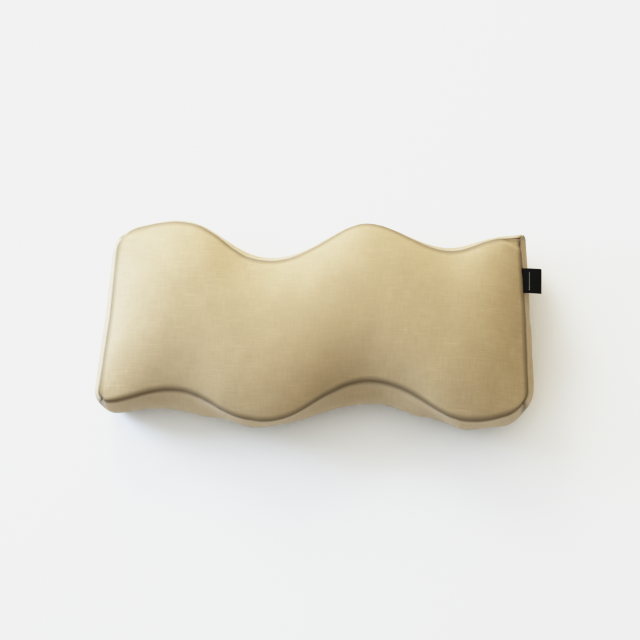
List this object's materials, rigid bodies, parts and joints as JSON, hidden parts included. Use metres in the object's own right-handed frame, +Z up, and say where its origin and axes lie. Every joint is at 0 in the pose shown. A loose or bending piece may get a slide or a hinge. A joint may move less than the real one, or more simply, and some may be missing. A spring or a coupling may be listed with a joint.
{
  "type": "lumbar support cushion",
  "caption": "Wavy box cushion for the small of the back, with a removable zipped linen-look cover over a lined foam core and a plain woven side label.",
  "frame": {"origin": "middle of the underside of the object's box, on the surface that the cushion lies on", "axes": "+X along the cushion towards the labelled end, +Y across it towards the far side, +Z up out of the front panel"},
  "size_m": [0.4894, 0.2398, 0.102],
  "materials": {
    "cover_linen": "matte woven",
    "lining": "matte woven",
    "foam": "matte open-cell",
    "label_black": "matte woven",
    "care_white": "satin woven",
    "zip_tape": "matte woven",
    "zip_coil": "satin",
    "zip_metal": "satin"
  },
  "bodies": {
    "cushion": {"front_panel": "cover_linen", "back_panel": "cover_linen", "near_side_band": "cover_linen", "far_side_band": "cover_linen", "right_end_panel": "cover_linen", "left_end_upper": "cover_linen", "left_end_lower": "cover_linen", "liner_front": "lining", "liner_back": "lining", "liner_near_band": "lining", "liner_far_band": "lining", "liner_right_end": "lining", "liner_left_end": "lining", "foam_core": "foam", "side_label": "label_black", "care_label": "care_white", "zip_tape_upper": "zip_tape", "zip_tape_lower": "zip_tape", "zip_coil_upper": "zip_coil", "zip_coil_lower": "zip_coil", "zip_top_stop_upper": "zip_metal", "zip_top_stop_lower": "zip_metal", "zip_bottom_stop": "zip_metal"},
    "slider": {"zip_slider": "zip_metal"},
    "pull": {"zip_pull": "zip_metal"}
  },
  "joints": [
    {"name": "zip_slide", "type": "slide", "parent": "cushion", "child": "slider", "axis": [-0.0523, -0.9986, 0], "range_m": [0, 0.1213]},
    {"name": "pull_hinge", "type": "hinge", "parent": "slider", "child": "pull", "pos_m": [-0.23879, 0.05962, 0.02965], "axis": [0.1463, -0.0077, -0.9892], "range_deg": [0, 165]}
  ]
}
